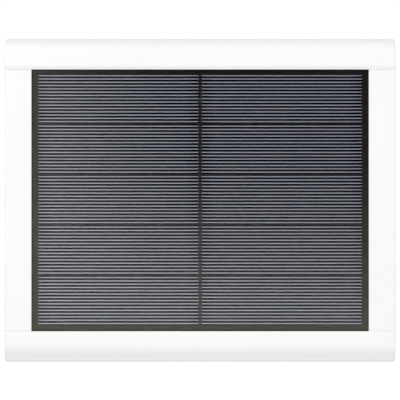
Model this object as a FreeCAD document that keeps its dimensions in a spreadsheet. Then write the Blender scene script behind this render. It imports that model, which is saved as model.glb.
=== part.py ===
"""Outdoor solar charging panel for a wireless security camera, on a wall mount with a ball joint.

The row frame is in millimetres: +Z up, +X to the right of somebody facing the panel, and +Y into the wall.
The origin is the centre of the wall base's back face, so the whole object lies at negative Y.
Every station along the depth is written as a distance out from the wall, which is -Y.

The panel is a two-part moulded housing. The front frame has a rounded bar along the top and the bottom that
stands proud of the two flat side rails, and a window with the solar laminate behind it. The rear shell closes
it and carries the ball socket. The wall base, arm and ball stud hold it off the wall.
"""

import FreeCAD
import Part
import math
import os
import Sketcher
from FreeCAD import Placement, Rotation, Vector

doc = FreeCAD.newDocument("SolarPanel")
sheet = doc.addObject("Spreadsheet::Sheet", "Sizes")


class Size:
    """A length with the sheet formula it comes from, so that one sum gives both the number and the expression."""

    def __init__(self, value, formula=None):
        self.v = float(value)
        self.f = formula if formula is not None else repr(float(value))

    def __add__(self, o):
        o = size(o)
        return Size(self.v + o.v, "(%s + %s)" % (self.f, o.f))

    def __sub__(self, o):
        o = size(o)
        return Size(self.v - o.v, "(%s - %s)" % (self.f, o.f))

    def __mul__(self, o):
        o = size(o)
        return Size(self.v * o.v, "(%s * %s)" % (self.f, o.f))

    def __truediv__(self, o):
        o = size(o)
        return Size(self.v / o.v, "(%s / %s)" % (self.f, o.f))

    def __neg__(self):
        return Size(-self.v, "(0 - %s)" % self.f)

    def __radd__(self, o):
        return size(o) + self

    def __rsub__(self, o):
        return size(o) - self

    def __rmul__(self, o):
        return size(o) * self

    def root(self):
        return Size(math.sqrt(self.v), "sqrt(%s)" % self.f)


def size(x):
    return x if isinstance(x, Size) else Size(x)


DIMENSIONS = [
    # housing
    ("panel_width", 194.0, "housing width"),
    ("panel_height", 161.0, "housing height"),
    ("panel_depth", 19.0, "housing thickness over the bars"),
    ("front_round", 10.0, "radius of the bars' front edge; the rear edge takes the rest of the depth"),
    ("wall", 2.2, "moulded wall"),
    ("bar_proud", 0.65, "how far the bars stand proud of the side rails"),
    ("bar_foot", 64.95, "half height between the feet of the two steps"),
    ("bar_slope", 1.65, "height that a step takes"),
    ("foot_line", 0.3, "width of the line moulded at the steps' feet"),
    ("foot_line_deep", 0.35, "depth of that line"),
    ("crest_round", 0.6, "radius on the steps' crests"),
    ("window_width", 167.35, "window in the front frame"),
    ("window_height", 129.9, "window in the front frame"),
    ("window_lip", 1.45, "thickness of the lip round the window"),
    ("ledge", 2.2, "how far the lip covers the laminate's seat"),
    ("end_round", 1.0, "radius on the housing's end outlines"),
    ("rail_round", 1.1, "radius on the side rails' outer edges"),
    ("tongue_wall", 1.0, "tongue on the rear shell"),
    ("tongue_rise", 1.5, "tongue on the rear shell"),
    ("groove_depth", 2.3, "rebate in the front frame for tongue and gasket"),
    ("gasket_thick", 0.75, "shell gasket"),
    ("seam_wide", 0.5, "width of the line left open between the two halves, all round"),
    ("seam_deep", 0.5, "depth of that line"),
    # laminate
    ("tape_thick", 0.4, "tape between lip and glass"),
    ("glass_thick", 2.0, "cover glass"),
    ("film_thick", 0.4, "space between cells and glass that the encapsulant takes"),
    ("film_play", 0.02, "gap between the film and the faces it wets"),
    ("cell_thick", 0.2, "silicon cell"),
    ("ribbon_thick", 0.15, "tinned copper ribbon"),
    ("backing_thick", 1.2, "black backing board"),
    ("laminate_play", 0.2, "gap round the laminate in its seat"),
    ("cell_width", 79.7, "one cell"),
    ("cell_height", 24.6, "one cell"),
    ("cell_column_gap", 1.5, "gap between the two columns"),
    ("cell_row_pitch", 25.1, "from one row of cells to the next"),
    ("cell_lift", 0.42, "how far the cell field sits above the window's centre"),
    # ball joint
    ("reach", 84.0, "wall to the ball's centre"),
    ("back_set", 9.0, "ball's centre to the panel's back face"),
    ("ball_r", 10.0, "ball"),
    ("liner_in_r", 10.15, "liner's inner sphere"),
    ("liner_out_r", 11.45, "liner's outer sphere"),
    ("socket_r", 11.6, "socket's sphere"),
    ("neck_r", 4.0, "ball stud's neck and shank"),
    ("bowl_r", 14.0, "outside of the socket bowl"),
    ("socket_flange_r", 26.0, "socket flange"),
    ("socket_flange_thick", 3.5, "socket flange"),
    ("socket_seal_thick", 0.5, "seal under the flange"),
    ("socket_sink", 2.0, "depth of the flange's seat in the rear shell"),
    ("socket_thread_r", 17.0, "socket's male thread, over its crests"),
    ("socket_screw_ring", 21.5, "radius of the flange screws' circle"),
    ("ring_bore_r", 17.3, "lock ring's female thread, at its roots"),
    ("ring_out_r", 22.0, "lock ring"),
    ("washer_thick", 0.8, "slip washer in the lock ring"),
    # arm and wall base
    ("arm_front_gap", 24.0, "ball's centre to the arm's front end"),
    ("arm_tip_r", 9.5, "arm at its front end"),
    ("arm_waist_r", 8.8, "arm at its thinnest"),
    ("arm_foot_r", 13.0, "arm at the wall base"),
    ("base_r", 31.0, "wall base"),
    ("base_thick", 7.0, "wall base"),
    ("base_seat", 1.5, "depth of the arm's seat in the wall base"),
    ("base_screw_ring", 22.0, "radius of the wall screws' circle"),
    ("base_screw_r", 2.25, "wall screw hole"),
    ("base_sink_r", 4.4, "countersink's mouth"),
    # shell screws
    ("shell_screw_x_in", 28.0, "shell screws, inner pairs"),
    ("shell_screw_x_out", 84.0, "shell screws, outer pairs"),
    ("shell_screw_z", 70.2, "shell screws' rows"),
    ("back_line_w", 78.0, "half width of the line moulded in the back face"),
    ("back_line_h", 54.0, "half height of the line moulded in the back face"),
    ("back_line_wide", 1.2, "width of that line"),
    ("back_line_deep", 0.6, "depth of that line"),
    ("screw_r", 1.45, "shell and socket screws' shank"),
    ("pilot_r", 1.5, "pilot hole"),
    ("screw_clear_r", 1.7, "clearance hole"),
    ("screw_head_r", 2.7, "shell screw's head"),
    ("plug_r", 3.05, "rubber plug"),
    # board and cable
    ("board_x", 60.0, "regulator board"),
    ("board_z", 24.0, "regulator board"),
    ("board_centre_z", -41.0, "regulator board's centre"),
    ("board_thick", 1.6, "regulator board"),
    ("gland_z", -62.0, "cable gland's height"),
    ("gland_bore_r", 2.6, "cable bore in the gland's seal"),
    ("gland_neck_r", 4.2, "gland's neck"),
    ("vent_x", 40.0, "vent's place"),
]


class Sheet:
    pass


P = Sheet()
for number, (alias, value, note) in enumerate(DIMENSIONS, 1):
    sheet.set("A%d" % number, note)
    sheet.set("B%d" % number, repr(value))
    sheet.setAlias("B%d" % number, alias)
    setattr(P, alias, Size(value, "Sizes.%s" % alias))
doc.recompute()

# ---------------------------------------------------------------- helpers


def axis_plane(body, role):
    return [f for f in body.Origin.OriginFeatures if f.Role == role][0]


def new_body(label):
    body = doc.addObject("PartDesign::Body", label)
    body.Label = label
    body.AllowCompound = True
    return body


def sketch(body, name, role, station=None):
    """A sketch on one of the body's own origin planes, moved along the plane's normal by station.

    On XZ_Plane the sketch's normal is -Y, so station is the distance out from the wall.
    """
    sk = body.newObject("Sketcher::SketchObject", body.Label + "_" + name)
    sk.AttachmentSupport = [(axis_plane(body, role), "")]
    sk.MapMode = "FlatFace"
    if station is not None:
        station = size(station)
        sk.AttachmentOffset = Placement(Vector(0, 0, station.v), Rotation())
        sk.setExpression("AttachmentOffset.Base.z", station.f)
    return sk


def place(sk, geometry, point, x, y):
    """Ties one point of a sketch to its coordinates."""
    for value, direction, axis in ((x, "DistanceX", -2), (y, "DistanceY", -1)):
        value = size(value)
        if value.v == 0:
            sk.addConstraint(Sketcher.Constraint("PointOnObject", geometry, point, axis))
        else:
            n = sk.addConstraint(Sketcher.Constraint(direction, geometry, point, value.v))
            sk.setExpression("Constraints[%d]" % n, value.f)


def outline(sk, corners):
    """A closed outline. Each corner is (x, y) or (x, y, radius, side): the edge leaving it is a line, or an arc of
    that radius whose centre lies to the left (side 1) or right (side -1) of the way along it."""
    made = []
    count = len(corners)
    for i, corner in enumerate(corners):
        nxt = corners[(i + 1) % count]
        a = Vector(size(corner[0]).v, size(corner[1]).v, 0)
        b = Vector(size(nxt[0]).v, size(nxt[1]).v, 0)
        if len(corner) == 2:
            made.append((sk.addGeometry(Part.LineSegment(a, b), False), 1, 2))
            continue
        radius, side = size(corner[2]), corner[3]
        d = b - a
        half = d.Length / 2
        left = Vector(-d.y, d.x, 0) / d.Length
        centre = (a + b) / 2 + left * (side * math.sqrt(max(radius.v**2 - half**2, 0)))
        circle = Part.Circle(centre, Vector(0, 0, 1), radius.v)
        first, last = (a, b) if side > 0 else (b, a)
        t0 = math.atan2(first.y - centre.y, first.x - centre.x)
        t1 = math.atan2(last.y - centre.y, last.x - centre.x)
        if t1 < t0:
            t1 += 2 * math.pi
        g = sk.addGeometry(Part.ArcOfCircle(circle, t0, t1), False)
        made.append((g, 1, 2) if side > 0 else (g, 2, 1))
        n = sk.addConstraint(Sketcher.Constraint("Radius", g, radius.v))
        sk.setExpression("Constraints[%d]" % n, radius.f)
    for i in range(count):
        g, _, end = made[i]
        h, start, _ = made[(i + 1) % count]
        sk.addConstraint(Sketcher.Constraint("Coincident", g, end, h, start))
    for i, corner in enumerate(corners):
        place(sk, made[i][0], made[i][1], corner[0], corner[1])


def rectangle(sk, x0, y0, x1, y1):
    outline(sk, [(x0, y0), (x1, y0), (x1, y1), (x0, y1)])


def centred(sk, half_x, half_y):
    rectangle(sk, -half_x, -half_y, half_x, half_y)


def circle(sk, x, y, radius):
    x, y, radius = size(x), size(y), size(radius)
    g = sk.addGeometry(Part.Circle(Vector(x.v, y.v, 0), Vector(0, 0, 1), radius.v), False)
    n = sk.addConstraint(Sketcher.Constraint("Radius", g, radius.v))
    sk.setExpression("Constraints[%d]" % n, radius.f)
    place(sk, g, 3, x, y)


def feature(body, kind, name, sk=None):
    f = body.newObject("PartDesign::" + kind, body.Label + "_" + name)
    if sk is not None:
        f.Profile = (sk, [""])
    return f


def bind(obj, prop, value):
    value = size(value)
    setattr(obj, prop, value.v)
    obj.setExpression(prop, value.f)


def pad(body, name, sk, length, both=False, back=False):
    f = feature(body, "Pad", name, sk)
    if both:
        f.SideType = "Symmetric"
    bind(f, "Length", length)
    f.Reversed = back
    sk.Visibility = False
    return f


def pocket(body, name, sk, length=None, both=False, outward=True):
    """Cuts along the sketch's normal. outward is the normal's own direction: away from the wall on XZ_Plane."""
    doc.recompute()
    before = body.Shape.Volume
    f = feature(body, "Pocket", name, sk)
    if both:
        f.SideType = "Symmetric"
    if length is None:
        f.Type = "ThroughAll"
    else:
        bind(f, "Length", length)
    f.Reversed = outward
    doc.recompute()
    if body.Shape.Volume >= before - 1e-6:
        raise ValueError("%s %s cuts nothing" % (body.Label, name))
    return f


def turn(body, name, corners, centre_z=None):
    """A revolved piece about a line parallel to Y. Corners are (radius, station out from the wall)."""
    sk = sketch(body, name + "_profile", "XY_Plane", centre_z)
    flipped = []
    for c in corners:
        if len(c) == 2:
            flipped.append((c[0], -size(c[1])))
        else:
            flipped.append((c[0], -size(c[1]), c[2], -c[3]))
    outline(sk, flipped)
    f = feature(body, "Revolution", name, sk)
    f.ReferenceAxis = (sk, ["V_Axis"])
    f.Angle = 360.0
    return f


def edges(shape, test):
    """Names of the edges whose points all pass the test, given as (x, distance from wall, z)."""
    found = []
    for i, e in enumerate(shape.Edges, 1):
        points = e.discretize(5)
        if all(test(p.x, -p.y, p.z) for p in points):
            found.append("Edge%d" % i)
    return found


def round_edges(body, name, base, names, radius, kind="Fillet"):
    f = feature(body, kind, name)
    f.Base = (base, names)
    bind(f, "Radius" if kind == "Fillet" else "Size", radius)
    doc.recompute()
    return f


def around(body, name, originals, axis_sketch, count):
    f = feature(body, "PolarPattern", name)
    f.Originals = originals
    f.Axis = (axis_sketch, ["N_Axis"])
    f.Angle = 360.0
    f.Occurrences = count
    body.Tip = f
    doc.recompute()
    return f


parts = []


def keep(obj):
    doc.recompute()
    parts.append(obj)
    return obj


# ---------------------------------------------------------------- stations, measured out from the wall

back = P.reach + P.back_set  # the rear shell's back face
front = back + P.panel_depth  # the bars' front face
parting = front - P.front_round  # where front frame meets rear shell
rail = front - P.bar_proud  # the side rails' front face
lip_back = rail - P.window_lip
glass_front = lip_back - P.tape_thick
glass_back = glass_front - P.glass_thick
cell_front = glass_back - P.film_thick
cell_back = cell_front - P.cell_thick
backing_front = cell_back - P.ribbon_thick
backing_back = backing_front - P.backing_thick
half_w = P.panel_width / 2
half_h = P.panel_height / 2
rear_round = P.panel_depth - P.front_round
inner_back = back + P.wall  # inside of the rear shell's back wall
seat_w = P.window_width / 2 + P.ledge  # the laminate's seat
seat_h = P.window_height / 2 + P.ledge
lam_w = seat_w - P.laminate_play
lam_h = seat_h - P.laminate_play

screw_places = [
    (sx * x, sz * P.shell_screw_z)
    for sx in (-1, 1)
    for x in (P.shell_screw_x_in, P.shell_screw_x_out)
    for sz in (-1, 1)
]
screw_places = [(size(x), size(z)) for x, z in screw_places]

# ---------------------------------------------------------------- front frame

b = new_body("front_frame")
sk = sketch(b, "profile", "YZ_Plane")
top_flat = half_h - P.front_round
outline(
    sk,
    [
        (-parting, -half_h, P.front_round, -1),
        (-front, -top_flat),
        (-front, top_flat, P.front_round, -1),
        (-parting, half_h),
    ],
)
block = pad(b, "block", sk, P.panel_width, both=True)
doc.recompute()
ends = edges(b.Shape, lambda x, s, z: abs(abs(x) - half_w.v) < 0.01)
ends = [n for n in ends if max(-v.Point.y for v in b.Shape.Edges[int(n[4:]) - 1].Vertexes) > parting.v + 0.01]
round_edges(b, "end_round", block, ends, P.end_round)
# the channel between the bars, where the side rails and the window lie, with a softened crest to each step
sk = sketch(b, "channel", "YZ_Plane")
step_top = P.bar_foot + P.bar_slope
slant = (P.bar_slope * P.bar_slope + P.bar_proud * P.bar_proud).root()
reach_on = P.crest_round * (slant - P.bar_slope) / P.bar_proud  # the crest arc's tangent length
crest_s = front - reach_on * P.bar_proud / slant
crest_z = step_top - reach_on * P.bar_slope / slant
outline(
    sk,
    [
        (-(rail - P.foot_line_deep), -P.bar_foot + P.foot_line),
        (-rail, -P.bar_foot + P.foot_line),
        (-rail, P.bar_foot - P.foot_line),
        (-(rail - P.foot_line_deep), P.bar_foot - P.foot_line),
        (-(rail - P.foot_line_deep), P.bar_foot),
        (-rail, P.bar_foot),
        (-crest_s, crest_z, P.crest_round, -1),
        (-front, step_top + reach_on),
        (-front - 3, step_top + reach_on),
        (-front - 3, -step_top - reach_on),
        (-front, -step_top - reach_on, P.crest_round, -1),
        (-crest_s, -crest_z),
        (-rail, -P.bar_foot),
        (-(rail - P.foot_line_deep), -P.bar_foot),
    ],
)
pocket(b, "channel_cut", sk, P.panel_width + 10, both=True)
# the side rails' outer edges
sk = sketch(b, "rail_edges", "XY_Plane")
for side in (-1, 1):
    outline(
        sk,
        [
            (side * (half_w - P.rail_round), -rail, P.rail_round, side),
            (side * half_w, -(rail - P.rail_round)),
            (side * (half_w + 1), -(rail - P.rail_round)),
            (side * (half_w + 1), -rail),
        ],
    )
pocket(b, "rail_round_cut", sk, 2 * P.bar_foot, both=True)
# the hollow behind the face
sk = sketch(b, "hollow", "YZ_Plane")
inner_r = P.front_round - P.wall
outline(
    sk,
    [
        (-parting, -(half_h - P.wall), inner_r, -1),
        (-(front - P.wall), -top_flat),
        (-(front - P.wall), -seat_h),
        (-(rail - P.wall), -seat_h),
        (-(rail - P.wall), seat_h),
        (-(front - P.wall), seat_h),
        (-(front - P.wall), top_flat, inner_r, -1),
        (-parting, half_h - P.wall),
    ],
)
pocket(b, "hollow_cut", sk, P.panel_width - 2 * P.wall, both=True)
sk = sketch(b, "window", "XZ_Plane", parting)
centred(sk, P.window_width / 2, P.window_height / 2)
pocket(b, "window_cut", sk)
sk = sketch(b, "seat", "XZ_Plane", parting)
centred(sk, seat_w, seat_h)
pocket(b, "seat_cut", sk, lip_back - parting)
sk = sketch(b, "rebate", "XZ_Plane", parting)
rebate = P.wall - P.tongue_wall - 0.15
centred(sk, half_w - rebate, half_h - rebate)
pocket(b, "rebate_cut", sk, P.groove_depth)
sk = sketch(b, "bosses", "XZ_Plane", parting)
for x, z in screw_places:
    circle(sk, x, z, 2.9)
pad(b, "boss_posts", sk, front - P.wall + 0.3 - parting)
sk = sketch(b, "pilots", "XZ_Plane", parting)
for x, z in screw_places:
    circle(sk, x, z, P.pilot_r)
pocket(b, "pilot_holes", sk, Size(7.0))
keep(b)

# ---------------------------------------------------------------- rear shell

b = new_body("rear_shell")
sk = sketch(b, "profile", "YZ_Plane")
flat = half_h - rear_round
outline(
    sk,
    [
        (-parting, half_h, rear_round, -1),
        (-back, flat),
        (-back, -flat, rear_round, -1),
        (-parting, -half_h),
    ],
)
block = pad(b, "block", sk, P.panel_width, both=True)
doc.recompute()
ends = edges(b.Shape, lambda x, s, z: abs(abs(x) - half_w.v) < 0.01 and not abs(s - parting.v) < 0.01)
round_edges(b, "end_round", block, ends, P.end_round)
sk = sketch(b, "hollow", "YZ_Plane")
inner_r = rear_round - P.wall
outline(
    sk,
    [
        (-parting - 1, half_h - P.wall),
        (-parting, half_h - P.wall, inner_r, -1),
        (-inner_back, flat),
        (-inner_back, -flat, inner_r, -1),
        (-parting, -(half_h - P.wall)),
        (-parting - 1, -(half_h - P.wall)),
    ],
)
pocket(b, "hollow_cut", sk, P.panel_width - 2 * P.wall, both=True)
sk = sketch(b, "tongue", "XZ_Plane", parting)
tongue_out_w = half_w - P.wall + P.tongue_wall
tongue_out_h = half_h - P.wall + P.tongue_wall
centred(sk, tongue_out_w, tongue_out_h)
centred(sk, half_w - P.wall, half_h - P.wall)
pad(b, "tongue_ring", sk, P.tongue_rise)
# the line that stays open between the halves, all round the housing
sk = sketch(b, "seam", "XZ_Plane", parting - P.seam_wide)
centred(sk, half_w + 1, half_h + 1)
centred(sk, half_w - P.seam_deep, half_h - P.seam_deep)
pocket(b, "seam_cut", sk, P.seam_wide + 0.5)
# thicker floor under the socket's seat
sk = sketch(b, "floor", "XZ_Plane", inner_back - 0.2)
circle(sk, 0, 0, P.socket_flange_r + 3)
pad(b, "floor_disc", sk, P.socket_sink + 0.2)
# a shallow moulded line round the back face, clear of the plugs, the vent and the gland
sk = sketch(b, "back_line", "XZ_Plane", back)
centred(sk, P.back_line_w, P.back_line_h)
centred(sk, P.back_line_w - P.back_line_wide, P.back_line_h - P.back_line_wide)
pocket(b, "back_line_cut", sk, P.back_line_deep)
# posts for the shell screws, the socket screws and the board, and the stiffening ribs
sk = sketch(b, "posts", "XZ_Plane", inner_back - 1)
for x, z in screw_places:
    circle(sk, x, z, 3.9)
pad(b, "screw_posts", sk, parting - 0.1 - inner_back + 1)
socket_places = []
for k in range(4):
    a = math.radians(45 + 90 * k)
    socket_places.append((P.socket_screw_ring * math.cos(a), P.socket_screw_ring * math.sin(a)))
sk = sketch(b, "socket_posts", "XZ_Plane", inner_back + 1)
for x, z in socket_places:
    circle(sk, x, z, 3.4)
pad(b, "socket_post_pads", sk, Size(5.8))
board_holes = [
    (sx * (P.board_x / 2 - 3), P.board_centre_z + sz * (P.board_z / 2 - 3)) for sx in (-1, 1) for sz in (-1, 1)
]
board_back = inner_back + 3
sk = sketch(b, "board_posts", "XZ_Plane", inner_back - 0.5)
for x, z in board_holes:
    circle(sk, x, z, 2.6)
pad(b, "board_post_pads", sk, board_back - inner_back + 0.5)
sk = sketch(b, "ribs", "XZ_Plane", inner_back - 0.5)
for x in (-58, 58):
    rectangle(sk, x - 0.8, -(half_h - 6), x + 0.8, half_h - 6)
pad(b, "rib_pads", sk, Size(4.5))
sk = sketch(b, "cross_ribs", "XZ_Plane", inner_back - 0.5)
for z in (-34, 38):
    rectangle(sk, -(half_w - 1), z - 0.8, -58, z + 0.8)
    rectangle(sk, 58, z - 0.8, half_w - 1, z + 0.8)
pad(b, "cross_rib_pads", sk, Size(4.5))
# openings in the back
sk = sketch(b, "socket_seat", "XZ_Plane", back)
circle(sk, 0, 0, P.socket_flange_r + 0.2)
pocket(b, "socket_seat_cut", sk, P.socket_sink)
sk = sketch(b, "bowl_hole", "XZ_Plane", back)
circle(sk, 0, 0, Size(11.0))
pocket(b, "bowl_hole_cut", sk)
sk = sketch(b, "socket_pilots", "XZ_Plane", back)
for x, z in socket_places:
    circle(sk, x, z, P.pilot_r)
pocket(b, "socket_pilot_holes", sk, Size(8.0))
sk = sketch(b, "screw_holes", "XZ_Plane", back)
for x, z in screw_places:
    circle(sk, x, z, P.screw_clear_r)
pocket(b, "screw_hole_cuts", sk)
sk = sketch(b, "screw_sinks", "XZ_Plane", back)
for x, z in screw_places:
    circle(sk, x, z, P.plug_r + 0.05)
pocket(b, "screw_sink_cuts", sk, Size(4.5))
sk = sketch(b, "board_pilots", "XZ_Plane", inner_back - 0.5)
for x, z in board_holes:
    circle(sk, x, z, Size(1.05))
pocket(b, "board_pilot_holes", sk, Size(4.0))
sk = sketch(b, "gland_hole", "XZ_Plane", back)
circle(sk, 0, P.gland_z, P.gland_neck_r + 0.1)
pocket(b, "gland_hole_cut", sk)
sk = sketch(b, "vent_seat", "XZ_Plane", back)
circle(sk, P.vent_x, P.gland_z, Size(4.2))
pocket(b, "vent_seat_cut", sk, Size(0.9))
sk = sketch(b, "vent_hole", "XZ_Plane", back)
circle(sk, P.vent_x, P.gland_z, Size(1.2))
pocket(b, "vent_hole_cut", sk)
keep(b)

# ---------------------------------------------------------------- gasket, tape and laminate

b = new_body("shell_gasket")
sk = sketch(b, "ring", "XZ_Plane", parting + P.tongue_rise)
centred(sk, tongue_out_w - 0.05, tongue_out_h - 0.05)
centred(sk, half_w - P.wall + 0.05, half_h - P.wall + 0.05)
pad(b, "cord", sk, P.gasket_thick)
keep(b)

b = new_body("frame_tape")
sk = sketch(b, "ring", "XZ_Plane", glass_front)
centred(sk, lam_w, lam_h)
centred(sk, P.window_width / 2 + 0.3, P.window_height / 2 + 0.3)
pad(b, "strip", sk, P.tape_thick)
keep(b)

b = new_body("cover_glass")
sk = sketch(b, "sheet", "XZ_Plane", glass_back)
centred(sk, lam_w, lam_h)
slab = pad(b, "slab", sk, P.glass_thick)
doc.recompute()
corners = edges(b.Shape, lambda x, s, z: abs(abs(x) - lam_w.v) < 0.01 and abs(abs(z) - lam_h.v) < 0.01)
round_edges(b, "corners", slab, corners, 1.5)
keep(b)

b = new_body("encapsulant_film")
sk = sketch(b, "sheet", "XZ_Plane", cell_front + P.film_play)
centred(sk, lam_w - 0.2, lam_h - 0.2)
pad(b, "slab", sk, P.film_thick - 2 * P.film_play)
keep(b)

b = new_body("solar_cells")
sk = sketch(b, "cells", "XZ_Plane", cell_back)
cell_half = P.cell_height / 2
for side in (-1, 1):
    near = side * (P.cell_column_gap / 2)
    far = side * (P.cell_column_gap / 2 + P.cell_width)
    x0, x1 = (near, far) if side > 0 else (far, near)
    for row in range(5):
        z = P.cell_lift + (row - 2) * P.cell_row_pitch
        rectangle(sk, x0, z - cell_half, x1, z + cell_half)
pad(b, "wafers", sk, P.cell_thick)
keep(b)

# ribbons join each cell's back to the next one in its column, and one joins the columns at the top
b = new_body("cell_ribbons")
sk = sketch(b, "ribbons", "XZ_Plane", backing_front)
for side in (-1, 1):
    for step in range(4):
        z = P.cell_lift + (step - 1.5) * P.cell_row_pitch
        for along in (0.3, 0.7):
            x = side * (P.cell_column_gap / 2 + P.cell_width * along)
            rectangle(sk, x - 1, z - 6, x + 1, z + 6)
z = P.cell_lift + 2 * P.cell_row_pitch
rectangle(sk, Size(-14.0), z - 1, Size(14.0), z + 1)
for side in (-1, 1):
    x = side * (P.cell_column_gap / 2 + P.cell_width * 0.5)
    z = P.cell_lift - 2 * P.cell_row_pitch
    rectangle(sk, x - 1.5, z - 8, x + 1.5, z + 8)
pad(b, "strips", sk, P.ribbon_thick)
keep(b)

terminal_x = (P.cell_column_gap + P.cell_width) / 2
terminal_z = P.cell_lift - 2 * P.cell_row_pitch
b = new_body("backing_board")
sk = sketch(b, "sheet", "XZ_Plane", backing_back)
centred(sk, lam_w, lam_h)
for side in (-1, 1):
    circle(sk, side * terminal_x, terminal_z, Size(1.2))
pad(b, "slab", sk, P.backing_thick)
keep(b)

b = new_body("terminal_pads")
sk = sketch(b, "pads", "XZ_Plane", backing_back - 0.3)
for side in (-1, 1):
    circle(sk, side * terminal_x, terminal_z, Size(3.2))
pad(b, "discs", sk, Size(0.3))
keep(b)

b = new_body("support_pads")
sk = sketch(b, "pads", "XZ_Plane", inner_back + 4)
for x in (-58, 58):
    for z in (-34, 38):
        rectangle(sk, Size(x - 5.0), Size(z - 5.0), Size(x + 5.0), Size(z + 5.0))
pad(b, "blocks", sk, backing_back - inner_back - 4)
keep(b)

# ---------------------------------------------------------------- regulator board and wiring

board_front = board_back + P.board_thick
b = new_body("regulator_board")
sk = sketch(b, "sheet", "XZ_Plane", board_back)
rectangle(
    sk,
    -P.board_x / 2,
    P.board_centre_z - P.board_z / 2,
    P.board_x / 2,
    P.board_centre_z + P.board_z / 2,
)
for x, z in board_holes:
    circle(sk, x, z, Size(1.3))
pad(b, "laminate", sk, P.board_thick)
keep(b)

b = new_body("board_screws")
sk = sketch(b, "shanks", "XZ_Plane", inner_back)
for x, z in board_holes:
    circle(sk, x, z, Size(1.0))
pad(b, "shank_pads", sk, board_front - inner_back)
sk = sketch(b, "heads", "XZ_Plane", board_front)
for x, z in board_holes:
    circle(sk, x, z, Size(2.1))
pad(b, "head_pads", sk, Size(1.4))
sk = sketch(b, "drives", "XZ_Plane", board_front + 0.7)
for x, z in board_holes:
    rectangle(sk, x - 1.2, z - 0.25, x + 1.2, z + 0.25)
pocket(b, "slots", sk)
keep(b)

b = new_body("converter_chip")
sk = sketch(b, "body", "XZ_Plane", board_front)
rectangle(sk, Size(-3.0), P.board_centre_z - 3, Size(3.0), P.board_centre_z + 3)
pad(b, "moulding", sk, Size(1.1))
keep(b)

b = new_body("inductor")
sk = sketch(b, "core", "XZ_Plane", board_front)
rectangle(sk, Size(7.0), P.board_centre_z - 4, Size(15.0), P.board_centre_z + 4)
core = pad(b, "core_block", sk, Size(3.6))
doc.recompute()
round_edges(
    b,
    "core_corners",
    core,
    edges(b.Shape, lambda x, s, z: min(abs(x - 7), abs(x - 15)) < 0.01 and abs(abs(z - P.board_centre_z.v) - 4) < 0.01),
    1.5,
)
keep(b)

b = new_body("capacitors")
sk = sketch(b, "cans", "XZ_Plane", board_front)
for z in (-4.5, 4.5):
    circle(sk, Size(-9.5), P.board_centre_z + z, Size(2.5))
pad(b, "can_pads", sk, Size(4.2))
keep(b)

b = new_body("output_connector")
sk = sketch(b, "housing", "XZ_Plane", board_front)
rectangle(sk, Size(-4.5), P.board_centre_z - 11.5, Size(4.5), P.board_centre_z - 6)
pad(b, "housing_block", sk, Size(4.0))
sk = sketch(b, "cavity", "XZ_Plane", board_front + 1)
rectangle(sk, Size(-3.7), P.board_centre_z - 10.7, Size(3.7), P.board_centre_z - 6.8)
pocket(b, "cavity_cut", sk)
keep(b)

# a lead leaves each terminal pad, turns along the back of the panel and turns again onto the board's edge
lead_r = Size(0.8)
bend = Size(2.0)
lead_plane = board_front + 2.4
for label, side in (("positive_lead", 1), ("negative_lead", -1)):
    b = new_body(label)
    pad_back = backing_back - 0.3
    level = terminal_z
    path = b.newObject("Sketcher::SketchObject", label + "_path")
    # the path lies in the horizontal plane of the terminals: local x is X, local y is Y
    path.AttachmentSupport = [(axis_plane(b, "XY_Plane"), "")]
    path.MapMode = "FlatFace"
    path.AttachmentOffset = Placement(Vector(0, 0, level.v), Rotation())
    path.setExpression("AttachmentOffset.Base.z", level.f)
    x_end = side * (P.board_x / 2 - 10)
    x_start = side * terminal_x
    turn_x = x_start - side * bend
    a = Vector(x_start.v, -pad_back.v, 0)
    c = Vector(x_start.v, -(lead_plane + bend).v, 0)
    d = Vector(turn_x.v, -lead_plane.v, 0)
    e = Vector(x_end.v, -lead_plane.v, 0)
    centre = Vector(turn_x.v, -(lead_plane + bend).v, 0)
    if side > 0:
        arc = Part.ArcOfCircle(Part.Circle(centre, Vector(0, 0, 1), bend.v), 0, math.pi / 2)
    else:
        arc = Part.ArcOfCircle(Part.Circle(centre, Vector(0, 0, 1), bend.v), math.pi / 2, math.pi)
    g0 = path.addGeometry(Part.LineSegment(a, c), False)
    g1 = path.addGeometry(arc, False)
    g2 = path.addGeometry(Part.LineSegment(d, e), False)
    s1, e1 = (1, 2) if side > 0 else (2, 1)
    path.addConstraint(Sketcher.Constraint("Coincident", g0, 2, g1, s1))
    path.addConstraint(Sketcher.Constraint("Coincident", g1, e1, g2, 1))
    n = path.addConstraint(Sketcher.Constraint("Radius", g1, bend.v))
    place(path, g0, 1, x_start, -pad_back)
    place(path, g0, 2, x_start, -(lead_plane + bend))
    place(path, g2, 1, turn_x, -lead_plane)
    place(path, g2, 2, x_end, -lead_plane)
    ring = sketch(b, "section", "XZ_Plane", pad_back)
    circle(ring, x_start, level, lead_r)
    pipe = feature(b, "AdditivePipe", "wire", ring)
    pipe.Spine = (path, ["Edge1", "Edge2", "Edge3"])
    keep(b)

# solder tags stand on the board under the ends of the leads
b = new_body("board_tags")
sk = sketch(b, "tags", "XZ_Plane", board_front)
for side in (-1, 1):
    x = side * (P.board_x / 2 - 9)
    rectangle(sk, x - 1, terminal_z - 1.2, x + 1, terminal_z + 1.2)
pad(b, "tag_blocks", sk, lead_plane - lead_r - board_front)
keep(b)

# ---------------------------------------------------------------- shell screws and plugs

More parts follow.
